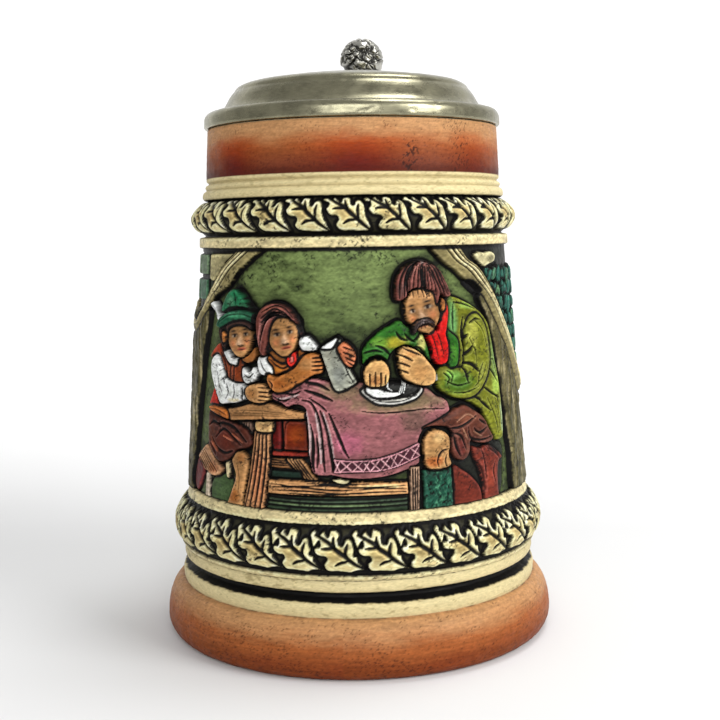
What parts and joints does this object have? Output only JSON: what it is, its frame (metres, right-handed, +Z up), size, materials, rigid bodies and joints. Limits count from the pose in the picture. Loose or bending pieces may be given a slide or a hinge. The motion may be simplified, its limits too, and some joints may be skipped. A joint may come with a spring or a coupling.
{
  "type": "lidded relief beer stein",
  "caption": "Stoneware beer stein with a loop handle, oak leaf bands, a relief panel, and a domed pewter lid that swings back on a thumblift hinge.",
  "frame": {"origin": "centre of the foot's resting ring, on the table", "axes": "+Z up along the jug's axis, +Y towards the handle and hinge, -Y towards the main relief panel"},
  "size_m": [0.1082, 0.1396, 0.17],
  "materials": {
    "stoneware": "matte hand-painted stoneware with dark antiquing in the recesses, glazed cream inside",
    "pewter": "satin aged pewter, darker in the recesses",
    "hinge_steel": "plain drawn steel"
  },
  "bodies": {
    "jug": {"jug_body": "stoneware", "handle": "stoneware", "handle_collar": "pewter", "handle_strap": "pewter", "strap_knuckle_left": "pewter", "strap_knuckle_middle": "pewter", "strap_knuckle_right": "pewter", "hinge_pin": "hinge_steel", "pin_cap_left": "pewter", "pin_cap_right": "pewter"},
    "lid": {"lid_dome": "pewter", "lid_tang": "pewter", "lid_knuckle_left": "pewter", "lid_knuckle_right": "pewter", "thumblift_stem": "pewter", "thumblift_ball": "pewter"}
  },
  "joints": [
    {"name": "lid_hinge", "type": "hinge", "parent": "jug", "child": "lid", "pos_m": [0, 0.0505, 0.1335], "axis": [-1, 0, 0], "range_deg": [0, 109]}
  ]
}
